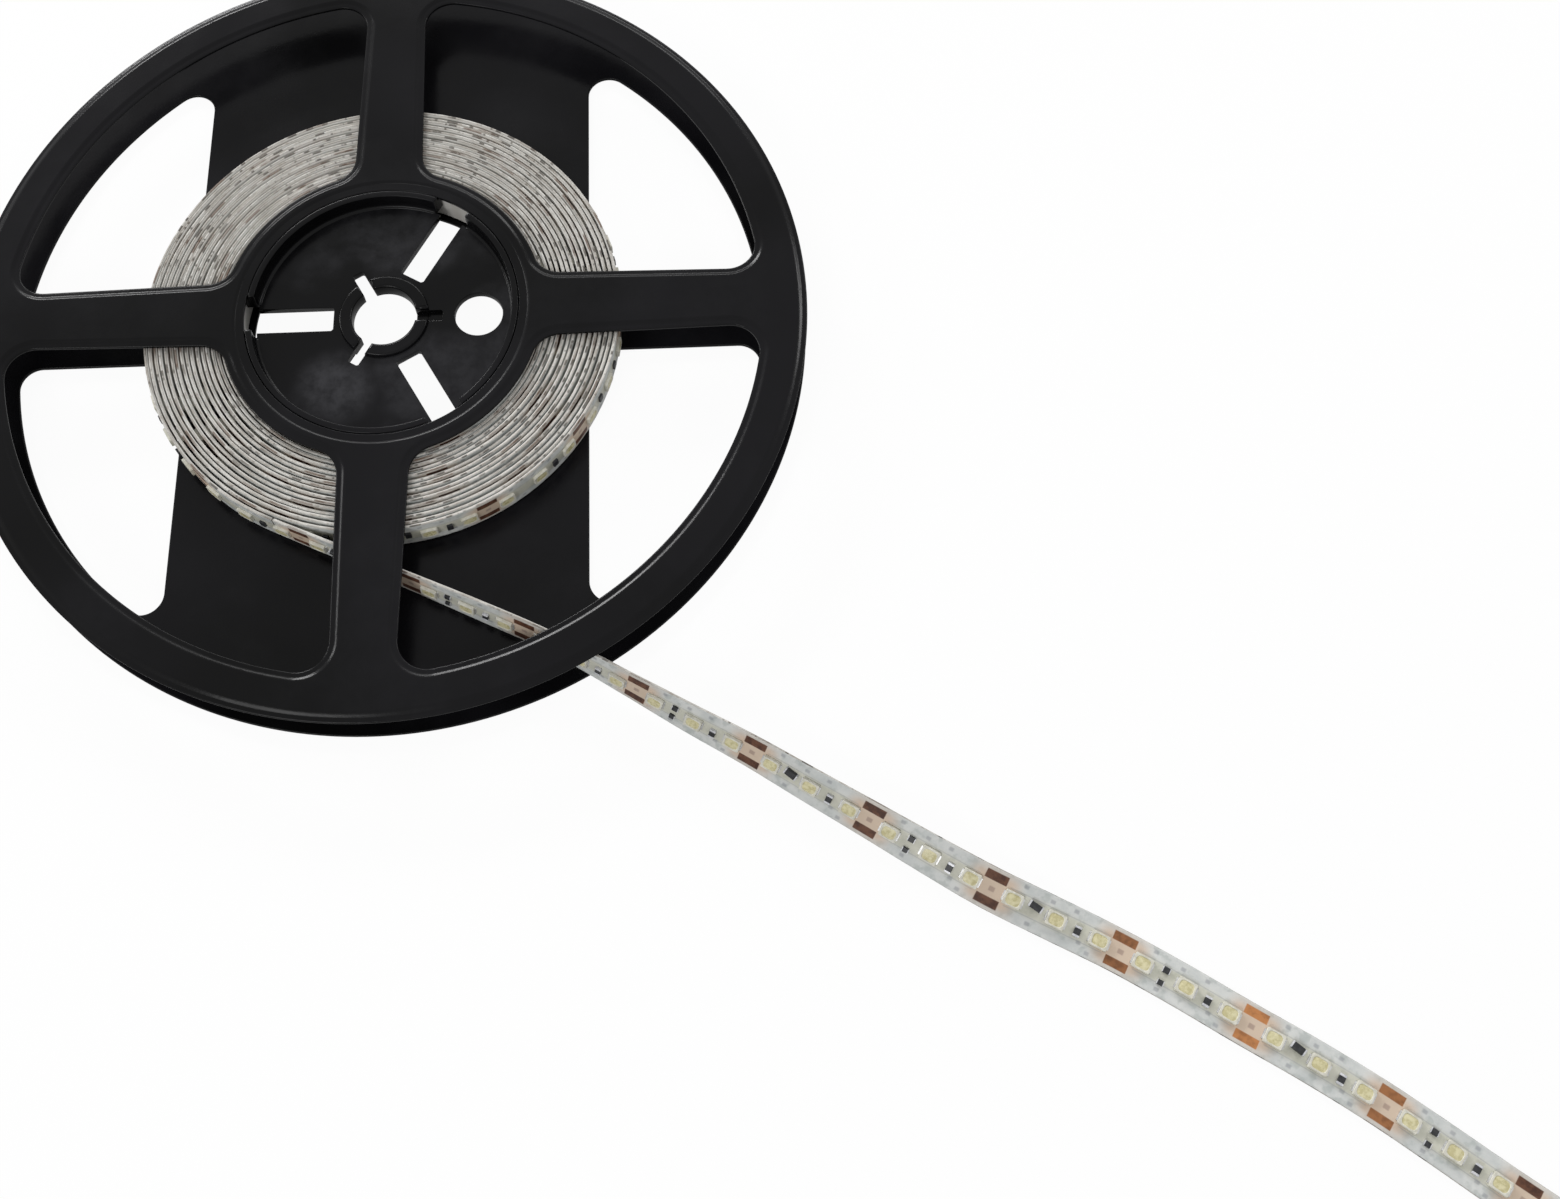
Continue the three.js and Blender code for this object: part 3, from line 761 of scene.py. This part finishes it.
class Nodes:
    """The node tree of a new material or world, built a node at a time."""

    def __init__(self, owner):
        owner.use_nodes = True
        self.owner = owner
        self.tree = owner.node_tree
        kind = "World" if isinstance(owner, bpy.types.World) else "Material"
        self.result = self.tree.nodes[f"{kind} Output"].inputs["Surface"]
        self.shader = self.result.links[0].from_node

    def feed(self, socket, value):
        if isinstance(value, bpy.types.NodeSocket):
            self.tree.links.new(value, socket)
        else:
            socket.default_value = value

    def node(self, kind, settings=None, **inputs):
        made = self.tree.nodes.new(kind)
        for name, value in (settings or {}).items():
            setattr(made, name, value)
        for name, value in inputs.items():
            self.feed(made.inputs[name], value)
        return made

    def math(self, operation, *values):
        made = self.node("ShaderNodeMath", {"operation": operation})
        for place, value in enumerate(values):
            self.feed(made.inputs[place], value)
        return made.outputs[0]

    def between(self, value, low, high, low_out=0.0, high_out=1.0):
        """Value carried smoothly from the range low to high onto another range, and held at its ends."""
        made = self.node("ShaderNodeMapRange", {"interpolation_type": "SMOOTHSTEP"}, Value=value)
        made.inputs["From Min"].default_value = low
        made.inputs["From Max"].default_value = high
        made.inputs["To Min"].default_value = low_out
        made.inputs["To Max"].default_value = high_out
        return made.outputs[0]

    def mix(self, share, first, second):
        made = self.node("ShaderNodeMix", {"data_type": "RGBA", "clamp_factor": True})
        self.feed(made.inputs[0], share)
        for place, value in ((6, first), (7, second)):
            self.feed(made.inputs[place], value if isinstance(value, bpy.types.NodeSocket) else (*value, 1))
        return made.outputs[2]

    def object_place(self):
        return self.node("ShaderNodeTexCoord").outputs["Object"]

    def object_noise(self, scale, detail=3.0, roughness=0.5):
        noise = self.node("ShaderNodeTexNoise", Vector=self.object_place(), Scale=scale, Detail=detail,
                          Roughness=roughness)
        return noise.outputs["Fac"]

    def bump(self, height, distance, strength=1.0, normal=None):
        made = self.node("ShaderNodeBump", Height=height, Distance=distance, Strength=strength)
        if normal is not None:
            self.feed(made.inputs["Normal"], normal)
        return made.outputs[0]

    def away_from(self, value, place):
        """How far a value is from a place, either way."""
        return self.math("ABSOLUTE", self.math("SUBTRACT", value, place))

    def set(self, **inputs):
        """Inputs of the shader that the tree came with."""
        for name, value in inputs.items():
            self.feed(self.shader.inputs[name.replace("_", " ")], value)

    def blend(self, share, first, second):
        made = self.node("ShaderNodeMixShader", Fac=share)
        for place, shader in ((1, first), (2, second)):
            self.feed(made.inputs[place], shader.outputs[0])
        return made

    def show(self, shader):
        """Another shader in place of the one that the tree came with."""
        self.tree.nodes.remove(self.shader)
        self.feed(self.result, shader.outputs[0])


def reel_plastic(name, scuff_and_sheen_share, scuff_and_sheen_place=None):
    """Black moulded plastic: nearly black, satin gloss that is duller in cloudy patches, fine moulding grain
    and a slow waviness. The share, from 0 to 1, adds pale scuffed clouds with fine streaks of wear in them,
    and the place, in metres, is the middle of one more pale patch, about 14 mm across, partly scuffing and
    partly painted reflection."""
    jet = (0.0018, 0.0018, 0.002)
    soot = (0.0058, 0.0056, 0.0068)
    scuff_and_sheen_grey = (0.05, 0.05, 0.055)
    nodes = Nodes(bpy.data.materials.new(name))
    wide = nodes.object_noise(14, 2)
    clouds = nodes.object_noise(60, 4)
    grain = nodes.object_noise(900, 2)
    waves = nodes.object_noise(25, 1)
    black = nodes.mix(nodes.between(wide, 0.38, 0.62), jet, soot)
    patches = nodes.between(nodes.object_noise(45, 3), 0.46, 0.62)
    # One pale patch round the given place: partly scuffing, partly a painted reflection of a soft sheen.
    if scuff_and_sheen_place is not None:
        away = nodes.node("ShaderNodeVectorMath", {"operation": "DISTANCE"})
        nodes.feed(away.inputs[0], nodes.object_place())
        away.inputs[1].default_value = scuff_and_sheen_place
        scuff_and_sheen_patch = nodes.between(away.outputs["Value"], 0.004, 0.0105, 2.0, 0.0)
        patches = nodes.math("MAXIMUM", patches, scuff_and_sheen_patch)
    streaks = nodes.between(nodes.object_noise(260, 5, 0.65), 0.25, 0.7, 0.2, 1.0)
    scuffed_and_sheen = nodes.math("MULTIPLY", patches, streaks)
    nodes.set(
        Base_Color=nodes.mix(nodes.math("MULTIPLY", scuffed_and_sheen, scuff_and_sheen_share), black, scuff_and_sheen_grey),
        Roughness=nodes.between(clouds, 0.3, 0.75, 0.17, 0.28),
        Normal=nodes.bump(grain, 0.00002, 0.6, nodes.bump(waves, 0.0004, 0.35)),
        Specular_IOR_Level=0.115,
    )
    return nodes.owner


def along_and_across(nodes):
    """The strip's own coordinates from its UV map: millimetres from the nearest cut line, millimetres from
    the middle, and the number of cut pitches."""
    uv_map = nodes.node("ShaderNodeUVMap", {"uv_map": "UVMap"})
    parts = nodes.node("ShaderNodeSeparateXYZ", Vector=uv_map.outputs[0])
    pitches = parts.outputs[0]
    shifted = nodes.math("FRACT", nodes.math("ADD", pitches, 1000.5))
    from_cut = nodes.math("MULTIPLY", nodes.math("SUBTRACT", shifted, 0.5), CUT_PITCH)
    return from_cut, parts.outputs[1], pitches


def box_mask(nodes, along, across, centre, size, soft):
    """One inside a box on the strip and zero outside, with soft sides."""
    sides = []
    for value, place, extent in ((along, centre[0], size[0]), (across, centre[1], size[1])):
        away = nodes.away_from(value, place)
        sides.append(nodes.between(away, extent / 2 - soft, extent / 2 + soft, 1.0, 0.0))
    return nodes.math("MULTIPLY", *sides)


def pad_brightness(nodes, pitches):
    """How bright the copper is at each cut line, from 0, dark brown, to 1, orange: the steps of a ramp over
    the tail's last eight cut pitches, counted from half a pitch before a cut line, and dark before them."""
    steps = 8
    counted = nodes.math("DIVIDE", nodes.math("ADD", pitches, steps + 0.5), steps)
    ramp_node = nodes.node("ShaderNodeValToRGB", Fac=counted)
    ramp = ramp_node.color_ramp
    ramp.interpolation = "CONSTANT"
    ramp.elements[1].position = 4 / steps
    for position in (5, 6, 7):
        ramp.elements.new(position / steps)
    for element, level in zip(ramp.elements, (0.0, 0.4, 1.0, 0.55, 0.0)):
        element.color = (level, level, level, 1)
    return ramp_node.outputs[0]


def board_face():
    """White solder mask on the LED side: cool white, warmer round the copper pads, thin darker lines between
    the copper areas, grey dots where the layers join, and two bare copper pads at each cut line that range
    from dark brown to orange."""
    nodes = Nodes(bpy.data.materials.new("board_face"))
    along, across, pitches = along_and_across(nodes)
    from_cut = nodes.math("ABSOLUTE", along)
    from_middle = nodes.math("ABSOLUTE", across)
    stains = nodes.object_noise(260, 4, 0.6)
    colour = nodes.mix(nodes.between(stains, 0.3, 0.7), (0.56, 0.585, 0.575), (0.7, 0.71, 0.69))

    green_grey = (0.38, 0.42, 0.4)
    spots = nodes.between(nodes.object_noise(620, 2, 0.5), 0.5, 0.68)
    colour = nodes.mix(nodes.math("MULTIPLY", spots, 0.45), colour, green_grey)

    cream = (0.58, 0.56, 0.42)
    colour = nodes.mix(nodes.between(from_middle, 1.2, 2.4, 0.55, 0.0), colour, cream)

    flesh = (0.66, 0.51, 0.39)
    warm = nodes.math("MULTIPLY", nodes.between(from_cut, 2.6, 6.0, 1.0, 0.0),
                      nodes.between(from_middle, 2.2, 3.7, 1.0, 0.35))
    colour = nodes.mix(nodes.math("MULTIPLY", warm, 0.85), colour, flesh)

    line_grey = (0.3, 0.31, 0.34)
    line_place = 1.75
    lines = nodes.between(nodes.away_from(from_middle, line_place), 0.05, 0.16, 0.35, 0.0)
    lines = nodes.math("MULTIPLY", lines, nodes.between(from_cut, 2.8, 3.2))
    colour = nodes.mix(lines, colour, line_grey)

    dot_grey = (0.22, 0.23, 0.26)
    for place in ((5.6, 3.1), (-5.4, -3.1), (8.1, -2.9), (-9.6, 3.0), (10.9, 2.7), (-7.4, -1.9)):
        dot = box_mask(nodes, along, across, place, (0.9, 0.7), 0.2)
        colour = nodes.mix(nodes.math("MULTIPLY", dot, 0.5), colour, dot_grey)

    cut_brown = (0.26, 0.17, 0.15)
    cut_mark = box_mask(nodes, along, across, (0, 0), (1.1, 0.9), 0.15)
    colour = nodes.mix(nodes.math("MULTIPLY", cut_mark, 0.55), colour, cut_brown)

    pad_place = 2.4
    pads = nodes.math("MULTIPLY", nodes.between(from_cut, 2.1, 2.3, 1.0, 0.0),
                      nodes.between(nodes.away_from(from_middle, pad_place), 0.75, 0.95, 1.0, 0.0))
    tarnish = nodes.object_noise(700, 3, 0.6)
    clean = nodes.between(tarnish, 0.25, 0.6, 0.6, 1.0)
    bright = nodes.math("MULTIPLY", pad_brightness(nodes, pitches), clean)
    dark = nodes.mix(nodes.between(tarnish, 0.35, 0.65), (0.055, 0.021, 0.012), (0.13, 0.055, 0.03))
    copper = nodes.mix(bright, dark, (0.52, 0.22, 0.08))

    relief = nodes.math("ADD", nodes.math("MULTIPLY", pads, -1.0), nodes.math("MULTIPLY", stains, 0.5))
    nodes.set(
        Base_Color=nodes.mix(pads, colour, copper),
        Roughness=nodes.between(pads, 0, 1, 0.42, 0.5),
        Normal=nodes.bump(relief, 0.00004, 0.5),
        Specular_IOR_Level=0.3,
    )
    return nodes.owner


def along_streaks(nodes, pitches, per_pitch, detail=2.0):
    """Noise that changes only along the strip, so that each turn has its own streaks."""
    noise = nodes.node("ShaderNodeTexNoise", {"noise_dimensions": "1D"}, W=pitches, Scale=per_pitch,
                       Detail=detail, Roughness=0.55)
    return noise.outputs["Fac"]


def board_edge():
    """The strip's cut edge: pale film with slow and quick streaks along it, short dark marks in groups that
    are painted shade for the shadows between the turns, brown ones where the copper pads come near the edge,
    and a fine fray."""
    nodes = Nodes(bpy.data.materials.new("board_edge"))
    along, _, pitches = along_and_across(nodes)
    fray = nodes.object_noise(1500, 3, 0.6)
    slow = along_streaks(nodes, pitches, 1.7)
    quick = along_streaks(nodes, pitches, 9.0, 3.0)
    colour = nodes.mix(nodes.between(slow, 0.35, 0.65), (0.42, 0.4, 0.365), (0.62, 0.605, 0.57))
    colour = nodes.mix(nodes.between(quick, 0.5, 0.7, 0.0, 0.5), colour, (0.33, 0.29, 0.25))
    # Painted shade: short dark marks in groups, for the shadows in the gaps between the turns.
    painted_shade_dashes = nodes.between(along_streaks(nodes, pitches, 7.5), 0.53, 0.6, 0.0, 0.9)
    painted_shade_clusters = nodes.between(nodes.object_noise(70, 1), 0.39, 0.55, 0.15, 1.0)
    colour = nodes.mix(nodes.math("MULTIPLY", painted_shade_dashes, painted_shade_clusters), colour, (0.09, 0.08, 0.07))
    colour = nodes.mix(nodes.between(fray, 0.5, 0.75, 0.0, 0.6), colour, (0.3, 0.26, 0.22))
    pads = nodes.math("MULTIPLY", nodes.between(nodes.math("ABSOLUTE", along), 1.8, 2.6, 1.0, 0.0),
                      nodes.between(along_streaks(nodes, pitches, 0.9), 0.4, 0.6, 0.1, 0.75))
    nodes.set(
        Base_Color=nodes.mix(pads, colour, (0.13, 0.08, 0.055)),
        Roughness=0.6,
        Normal=nodes.bump(fray, 0.00005, 0.5),
        Specular_IOR_Level=0.25,
    )
    return nodes.owner


def board_back():
    """The release paper on the strip's back: off-white, faintly mottled and streaked along."""
    nodes = Nodes(bpy.data.materials.new("board_back"))
    _, _, pitches = along_and_across(nodes)
    mottle = nodes.object_noise(500, 4, 0.6)
    streaks = along_streaks(nodes, pitches, 3.0)
    paper = nodes.mix(mottle, (0.58, 0.565, 0.53), (0.68, 0.665, 0.63))
    nodes.set(
        Base_Color=nodes.mix(nodes.between(streaks, 0.4, 0.7, 0.0, 0.6), paper, (0.46, 0.43, 0.385)),
        Roughness=0.55,
        Normal=nodes.bump(mottle, 0.00003, 0.4),
        Specular_IOR_Level=0.25,
    )
    return nodes.owner


def mottled(name, first, second, roughness, scale=900.0, metallic=0.0):
    """A small part's finish: two close colours in fine mottling with a matching roughness and bump."""
    nodes = Nodes(bpy.data.materials.new(name))
    mottle = nodes.object_noise(scale, 3, 0.6)
    nodes.set(
        Base_Color=nodes.mix(nodes.between(mottle, 0.35, 0.65), first, second),
        Roughness=nodes.between(mottle, 0.3, 0.7, roughness - 0.06, roughness + 0.06),
        Normal=nodes.bump(mottle, 0.00002, 0.5),
        Metallic=metallic,
        Specular_IOR_Level=0.4,
    )
    return nodes.owner


make_camera()

face = board_face()
edge = board_edge()
back = board_back()
plastic = reel_plastic("reel_plastic", 0.04)
# The hub web's pale patch at its lower left is partly scuffing and partly a painted reflection.
hub_scuff_and_sheen_place = (-0.0095, -0.0165, 0.007)
hub_plastic = reel_plastic("hub_plastic", 0.35, hub_scuff_and_sheen_place)
led_body = mottled("led_body", (0.6, 0.585, 0.5), (0.74, 0.725, 0.64), 0.4)
phosphor = mottled("phosphor", (0.56, 0.51, 0.28), (0.74, 0.69, 0.44), 0.3, 1100)
terminal = mottled("tinned_terminal", (0.5, 0.5, 0.5), (0.66, 0.66, 0.66), 0.38, 1400, 0.6)
chip_top = mottled("chip_top", (0.012, 0.013, 0.015), (0.03, 0.031, 0.034), 0.42, 1200)
chip_end = mottled("chip_end", (0.5, 0.51, 0.54), (0.68, 0.68, 0.7), 0.4, 1500, 0.3)


def led_shape(base, height):
    """An LED package: a body with a slight draft, a rim round its sunk window, the phosphor in the window
    crowned a little, and a tinned terminal at each end."""
    corner = 0.18
    window_corner = 0.7
    sunk = 0.1
    length, width, _ = LED_SIZE
    top = base + height
    outline = rounded_loop(length, width, corner, 3)
    window = rounded_loop(length - LED_RIM[0], width - LED_RIM[1], window_corner, 3)
    body = stacked([
        (outline, base),
        (outline * 0.975, top - 0.05),
        (outline * 0.95, top),
        (window, top),
        (window * 0.94, top - sunk),
        (window * 0.5, top - 0.4 * sunk),
    ], [led_body] * 4 + [phosphor] * 2)
    tab = stacked([
        (rounded_loop(0.5, 2.0, 0.08, 1), base - 0.1),
        (rounded_loop(0.42, 1.92, 0.08, 1), base + 0.12),
    ], [terminal] * 2)
    tab_place = length / 2 + 0.05
    return joined([body, moved(tab, tab_place, 0), moved(tab, -tab_place, 0)])


def small_led_shape(base, height):
    """The same package for the turns of the winding, with few faces."""
    length, width, _ = LED_SIZE
    top = base + height
    outline = rounded_loop(length, width, 0.2, 1)
    window = rounded_loop(length - LED_RIM[0], width - LED_RIM[1], 0.6, 1)
    return stacked([
        (outline, base),
        (outline * 0.97, top),
        (window * 0.97, top - 0.06),
    ], [led_body, led_body, phosphor])


def chip_shape(size, base, cap, turn=0.0):
    """A chip: its middle stands a little lower than the metal caps at its two ends."""
    length, width, height = size
    top = base + height
    between_caps = length - 2 * cap
    side = rounded_loop(between_caps, width * 0.97, 0.05, 1)
    middle = stacked([
        (side, base),
        (side, top - 0.1),
        (rounded_loop(between_caps - 0.1, width * 0.9, 0.05, 1), top - 0.03),
    ], [chip_top] * 3, turn)
    cap_side = rounded_loop(cap, width, 0.06, 1)
    end = stacked([
        (cap_side, base - 0.1),
        (cap_side, top - 0.06),
        (rounded_loop(cap * 0.8, width * 0.94, 0.06, 1), top),
    ], [chip_end] * 3, turn)
    shift = (length - cap) / 2
    x, y = shift * math.cos(turn), shift * math.sin(turn)
    return joined([middle, moved(end, x, y), moved(end, -x, -y)])


# Where the parts stand on the strip, counted from the tail's start: cut lines before it are negative.
first_cut = TAIL_LENGTH - TAIL_CUT_COUNT * CUT_PITCH
led_pitch = CUT_PITCH / 3
wound_length = STRIP_LENGTH - TAIL_LENGTH


def strip_frames(distances):
    """Frames anywhere on the strip: on the winding before the tail's start and on the tail after it."""
    wound = winding_frames(wound_length + np.minimum(distances, 0))
    free = tail_frames(np.maximum(distances, 0))
    return tuple(np.where(distances[:, None] < 0, w, f) for w, f in zip(wound, free))


def set_down(name, shape, distances, across=0.0):
    """A piece that repeats a shape along the strip, and rides with it."""
    piece = repeated(name, shape, strip_frames(distances), across)
    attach(piece, "root")
    return piece


# The tail, and the parts soldered on it, which go with it.
tail_places = np.linspace(0, TAIL_LENGTH, TAIL_STATIONS)
tail_frame = tail_frames(tail_places)
tail = ribbon("tail_board", tail_frame, tail_places, face, edge, back)
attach(tail, "root")
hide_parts("strip_tail")

tail_cuts = first_cut + CUT_PITCH * np.arange(TAIL_CUT_COUNT)
lead_base = STRIP_THICKNESS + LEAD_HEIGHT
chip_base = STRIP_THICKNESS + SOLDER_GAP
led_height = SOLDER_GAP + LED_SIZE[2] - LEAD_HEIGHT
led_places = (tail_cuts[:, None] + led_pitch * (np.arange(3) + 0.5)).ravel()
tail_leds = set_down("tail_leds", led_shape(lead_base, led_height), led_places)
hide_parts(*[f"led_{k:02d}" for k in range(1, 34)])

resistor_along, resistor_across, resistor_height = RESISTOR_SIZE
resistor_size = (resistor_across, resistor_along, resistor_height)
resistor = chip_shape(resistor_size, chip_base, RESISTOR_CAP, RESISTOR_TURN)
tail_resistors = set_down("tail_resistors", resistor, tail_cuts + 2 * led_pitch, RESISTOR_ACROSS)
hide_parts(*[f"resistor_{k:02d}" for k in range(1, 12)])

driver = chip_shape(DRIVER_SIZE, chip_base, DRIVER_CAP, DRIVER_SLANT)
tail_drivers = set_down("tail_drivers", driver, tail_cuts[::2] + led_pitch, DRIVER_ACROSS)
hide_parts(*[f"driver_{k:02d}" for k in range(1, 12, 2)])

twin = joined([moved(chip_shape(size, lead_base, cap), *place) for size, place, cap in TWIN_CHIPS])
tail_twins = set_down("tail_twin_chips", twin, tail_cuts[1::2] + led_pitch)

# The winding: all its turns are one ribbon, and its parts stand in the space between the turns.
whole_turns = winding_turns(np.array([wound_length]))[0]
station_turns = np.linspace(0, whole_turns, int(whole_turns * WINDING_STATIONS_PER_TURN) + 1)
wound_places = 2 * np.pi * (WINDING_START * station_turns + WINDING_PITCH * station_turns ** 2 / 2)
winding = ribbon("winding_board", winding_frames(wound_places), wound_places - wound_length, face, edge, back)
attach(winding, "root")
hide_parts("strip_winding")

wound_cuts = first_cut - CUT_PITCH * np.arange(1, int(wound_length / CUT_PITCH))
wound_leds = (wound_cuts[:, None] + led_pitch * (np.arange(3) + 0.5)).ravel()
winding_leds = set_down("winding_leds", small_led_shape(STRIP_THICKNESS, LED_SIZE[2]), wound_leds)
small_chip_outline = rounded_loop(resistor_along, resistor_across, 0.1, 1)
small_chip = stacked([
    (small_chip_outline, STRIP_THICKNESS),
    (small_chip_outline, STRIP_THICKNESS + SMALL_CHIP_HEIGHT),
], [chip_top] * 2)
winding_chips = set_down("winding_chips", small_chip, wound_cuts + 2 * led_pitch, RESISTOR_ACROSS)
winding_drivers = set_down("winding_drivers", small_chip, wound_cuts[1::2] + led_pitch, DRIVER_ACROSS)

# The reel's three mouldings.
hub_shapes = [web_shape(hub_plastic)]
hub_shapes += boss_shapes(plastic) + blind_key_shapes(plastic) + drum_shapes(plastic)
for name, shape, node in (
    ("front_flange_moulding", front_flange_shape(plastic), "front_flange"),
    ("rear_flange_moulding", rear_flange_shape(plastic), "rear_flange"),
    ("hub_moulding", joined(hub_shapes), "hub_core"),
):
    moulding = surface(name, *shape)
    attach(moulding, "root")
    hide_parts(node)


def seen_rays(nodes):
    """One for a ray from the camera, a mirror-like reflection or a clear body, and zero for diffuse light."""
    rays = nodes.node("ShaderNodeLightPath").outputs
    sharp = nodes.math("MAXIMUM", rays["Is Glossy Ray"], rays["Is Transmission Ray"])
    return nodes.math("MAXIMUM", rays["Is Camera Ray"], sharp)


def make_world():
    """Plain soft light all round, seen as white."""
    light_strength = 0.42
    seen_strength = 1.0
    nodes = Nodes(bpy.data.worlds.new("studio"))
    light = nodes.node("ShaderNodeBackground", Color=(1, 1, 1, 1), Strength=light_strength)
    white = nodes.node("ShaderNodeBackground", Color=(1, 1, 1, 1), Strength=seen_strength)
    nodes.show(nodes.blend(seen_rays(nodes), light, white))
    bpy.context.scene.world = nodes.owner


def make_floor():
    """A plain floor that is nearly white where it is seen and still takes the object's shadow."""
    half = 3000
    height = -0.1
    glow_share = 0.95
    square = ((-half, -half), (half, -half), (half, half), (-half, half))
    corners = np.array([(x, y, height) for x, y in square])
    nodes = Nodes(bpy.data.materials.new("floor"))
    pale = nodes.node("ShaderNodeBsdfDiffuse", Color=(0.9, 0.9, 0.9, 1))
    plain = nodes.node("ShaderNodeBsdfDiffuse", Color=(0.5, 0.5, 0.5, 1))
    camera_ray = nodes.node("ShaderNodeLightPath").outputs["Is Camera Ray"]
    strength = nodes.between(camera_ray, 0, 1, 0.5, 1.0)
    glow = nodes.node("ShaderNodeEmission", Color=(1, 1, 1, 1), Strength=strength)
    nodes.show(nodes.blend(seen_rays(nodes), plain, nodes.blend(glow_share, pale, glow)))
    floor = surface("floor", corners, [(np.array([[0, 1, 2, 3]]), nodes.owner, False, None)])


def make_softbox(name, place, size, radiance):
    """An even lamp panel that faces the reel. Its energy is pi times its area times radiance, the level at
    which the panel would be seen."""
    data = bpy.data.lights.new(name, "AREA")
    data.shape = "RECTANGLE"
    data.size, data.size_y = size
    data.energy = radiance * math.pi * size[0] * size[1]
    lamp = bpy.data.objects.new(name, data)
    lamp.location = Vector(place)
    lamp.rotation_mode = "QUATERNION"
    lamp.rotation_quaternion = (Vector(LAMP_TARGET) - lamp.location).to_track_quat("-Z", "Y")
    bpy.context.collection.objects.link(lamp)


make_world()
make_floor()
for lamp_row in LAMPS:
    make_softbox(*lamp_row)
bpy.context.scene.view_settings.view_transform = "Standard"
